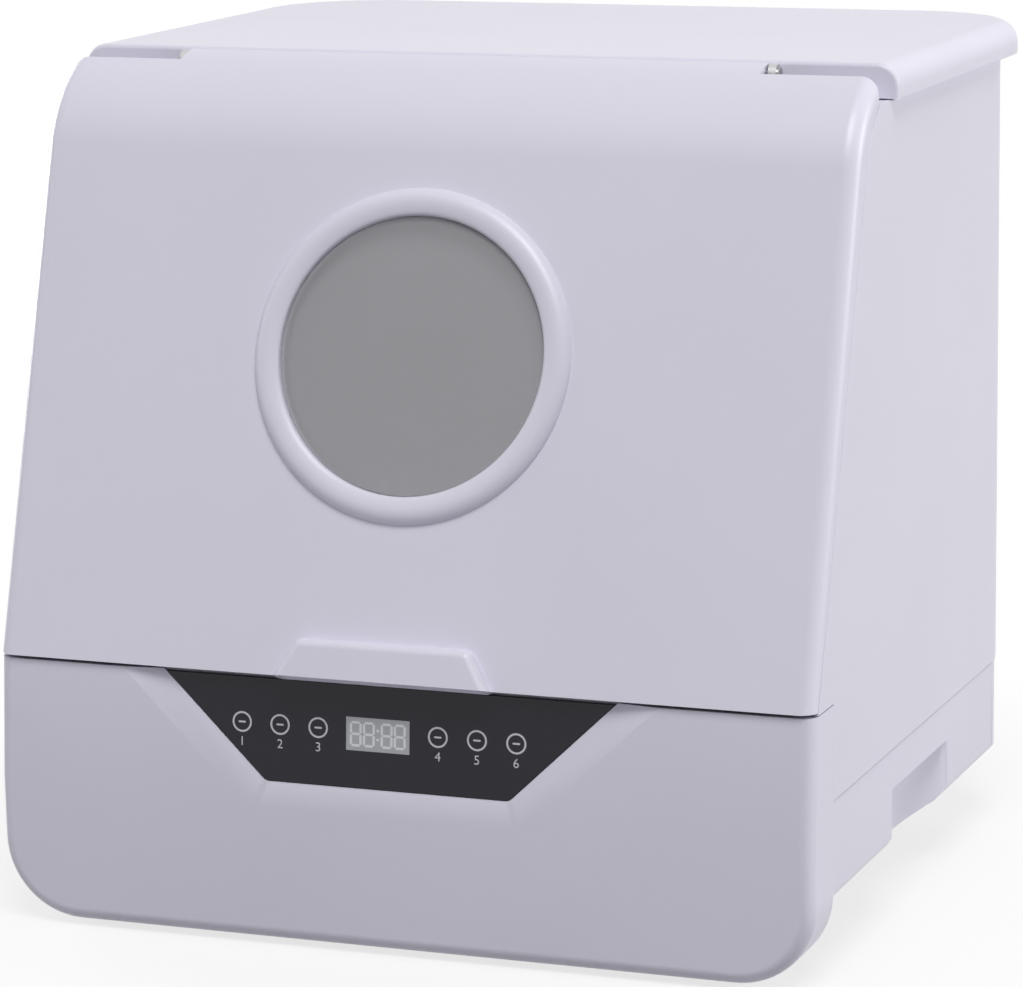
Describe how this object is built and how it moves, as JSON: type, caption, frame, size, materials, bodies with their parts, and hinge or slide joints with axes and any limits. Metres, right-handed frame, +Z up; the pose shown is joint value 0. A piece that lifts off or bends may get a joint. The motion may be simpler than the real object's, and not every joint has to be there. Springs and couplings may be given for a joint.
{
  "type": "countertop dishwasher",
  "caption": "White countertop dishwasher with a leaning top-hinged lid, a round smoked window, a black trapezoid touch panel and a wire dish rack inside.",
  "frame": {"origin": "centre of the footprint of the bounding box, on the floor under the feet", "axes": "+Z up, the front with the touch panel and lid faces -Y, +X is the right-hand side of a person who faces the front"},
  "size_m": [0.428, 0.4188, 0.425],
  "materials": {
    "white_shell": "satin, a fine smooth moulding",
    "white_satin": "satin",
    "black_glass": "polished, opaque black behind",
    "smoke_pane": "polished, smoke tinted and clear",
    "grey_lens": "glossy, lit from behind",
    "dark_plastic": "fine grain",
    "grey_plastic": "satin",
    "grey_rubber": "matte",
    "stainless": "brushed",
    "bright_steel": "bright plated",
    "coated_wire": "smooth coating over steel wire",
    "green_board": "solder resist"
  },
  "bodies": {
    "case": {"base_pan": "white_shell", "front_fascia": "white_shell", "side_panel_left": "white_shell", "side_panel_right": "white_shell", "back_panel": "white_satin", "top_cover": "white_shell", "control_glass": "black_glass", "display_lens": "grey_lens", "display_module": "dark_plastic", "key_springs": "bright_steel", "control_board": "green_board", "hinge_pins": "bright_steel", "hinge_brackets": "stainless", "hinge_rail": "stainless", "hinge_screws": "bright_steel", "tub": "grey_plastic", "tub_seal": "grey_rubber", "strike_plates": "bright_steel", "reed_switch": "dark_plastic", "spray_hub": "dark_plastic", "arm_nut": "dark_plastic", "sump": "dark_plastic", "filter_plate": "stainless", "filter_cup": "grey_plastic", "heater": "stainless", "wash_volute": "dark_plastic", "wash_motor": "stainless", "drain_pump": "dark_plastic", "inlet_valve": "white_satin", "drain_spigot": "dark_plastic", "wash_hose": "grey_rubber", "drain_hose": "grey_rubber", "inlet_hose": "grey_rubber", "cable_gland": "dark_plastic", "blower_housing": "dark_plastic", "blower_motor": "bright_steel", "main_board": "green_board", "feet": "grey_rubber", "case_screws": "bright_steel"},
    "lid": {"lid_outer": "white_shell", "lid_liner": "white_satin", "lid_handle": "white_shell", "window_ring": "white_shell", "window_gasket": "grey_rubber", "window_pane": "smoke_pane", "window_clamp": "white_satin", "lid_magnets": "bright_steel", "hinge_bushes": "dark_plastic", "lid_screws": "bright_steel"},
    "rack": {"rack_frame": "coated_wire", "rack_tines": "coated_wire", "rack_glides": "dark_plastic", "cutlery_basket": "grey_plastic"},
    "spray_arm": {"spray_arm": "grey_plastic"},
    "wash_rotor": {"wash_rotor": "bright_steel"},
    "drain_rotor": {"drain_rotor": "bright_steel"},
    "blower_wheel": {"blower_wheel": "dark_plastic"},
    "float": {"float_cup": "white_satin"}
  },
  "joints": [
    {"name": "lid_hinge", "type": "hinge", "parent": "case", "child": "lid", "pos_m": [0, -0.08264, 0.41929], "axis": [-1, 0, 0], "range_deg": [0, 80]},
    {"name": "rack_slide", "type": "slide", "parent": "case", "child": "rack", "axis": [0, -1, 0], "range_m": [0, 0.15]},
    {"name": "arm_spin", "type": "hinge", "parent": "case", "child": "spray_arm", "pos_m": [0, -0.01064, 0.1255], "axis": [0, 0, 1], "continuous": true},
    {"name": "wash_spin", "type": "hinge", "parent": "case", "child": "wash_rotor", "pos_m": [-0.043, -0.01064, 0.034], "axis": [1, 0, 0], "continuous": true},
    {"name": "drain_spin", "type": "hinge", "parent": "case", "child": "drain_rotor", "pos_m": [0, 0.05736, 0.023], "axis": [0, 0, 1], "continuous": true},
    {"name": "blower_spin", "type": "hinge", "parent": "case", "child": "blower_wheel", "pos_m": [0.06, 0.16136, 0.321], "axis": [0, 1, 0], "continuous": true},
    {"name": "float_lift", "type": "slide", "parent": "case", "child": "float", "axis": [0, 0, 1], "range_m": [0, 0.005]}
  ],
  "couplings": [
    {"joint": "rack_slide", "follows": "lid_hinge", "m_per_rad": 0.105}
  ]
}
